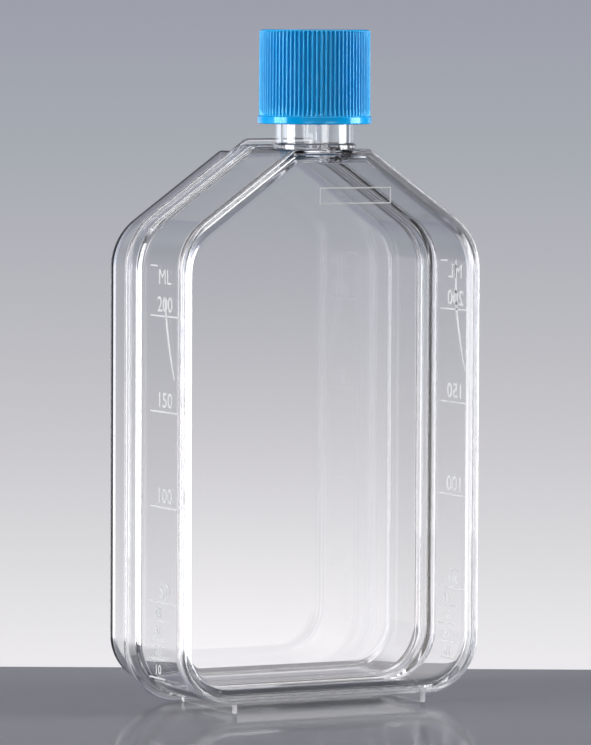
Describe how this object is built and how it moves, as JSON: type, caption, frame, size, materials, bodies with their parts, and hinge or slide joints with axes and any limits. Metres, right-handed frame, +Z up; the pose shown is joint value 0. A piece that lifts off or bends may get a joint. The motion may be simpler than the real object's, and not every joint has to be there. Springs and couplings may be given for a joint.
{
  "type": "cell culture flask",
  "caption": "Flat clear plastic culture flask with sloping shoulders, straight neck, foot ribs and a ribbed blue screw cap.",
  "frame": {"origin": "middle of the overall box, on the surface that the flask stands on", "axes": "+Z up along the neck, -Y towards the front window, X across the flask"},
  "size_m": [0.0762, 0.0426, 0.15],
  "materials": {
    "clear_shell": "clear polystyrene",
    "clear_tray": "clear polystyrene",
    "blue_cap": "satin polyethylene",
    "white_seal": "matt foam polyethylene"
  },
  "bodies": {
    "flask": {"flask_shell": "clear_shell", "growth_tray": "clear_tray"},
    "seal": {"cap_seal": "white_seal"},
    "cap": {"screw_cap": "blue_cap"}
  },
  "joints": [
    {"name": "cap_lift", "type": "slide", "parent": "flask", "child": "seal", "axis": [0, 0, 1], "range_m": [0, 0.0221]},
    {"name": "cap_turn", "type": "hinge", "parent": "seal", "child": "cap", "pos_m": [0, -0.00868, 0.14], "axis": [0, 0, 1], "range_deg": [0, 1980]}
  ],
  "couplings": [
    {"joint": "cap_lift", "follows": "cap_turn", "m_per_rad": 0.00063662}
  ]
}
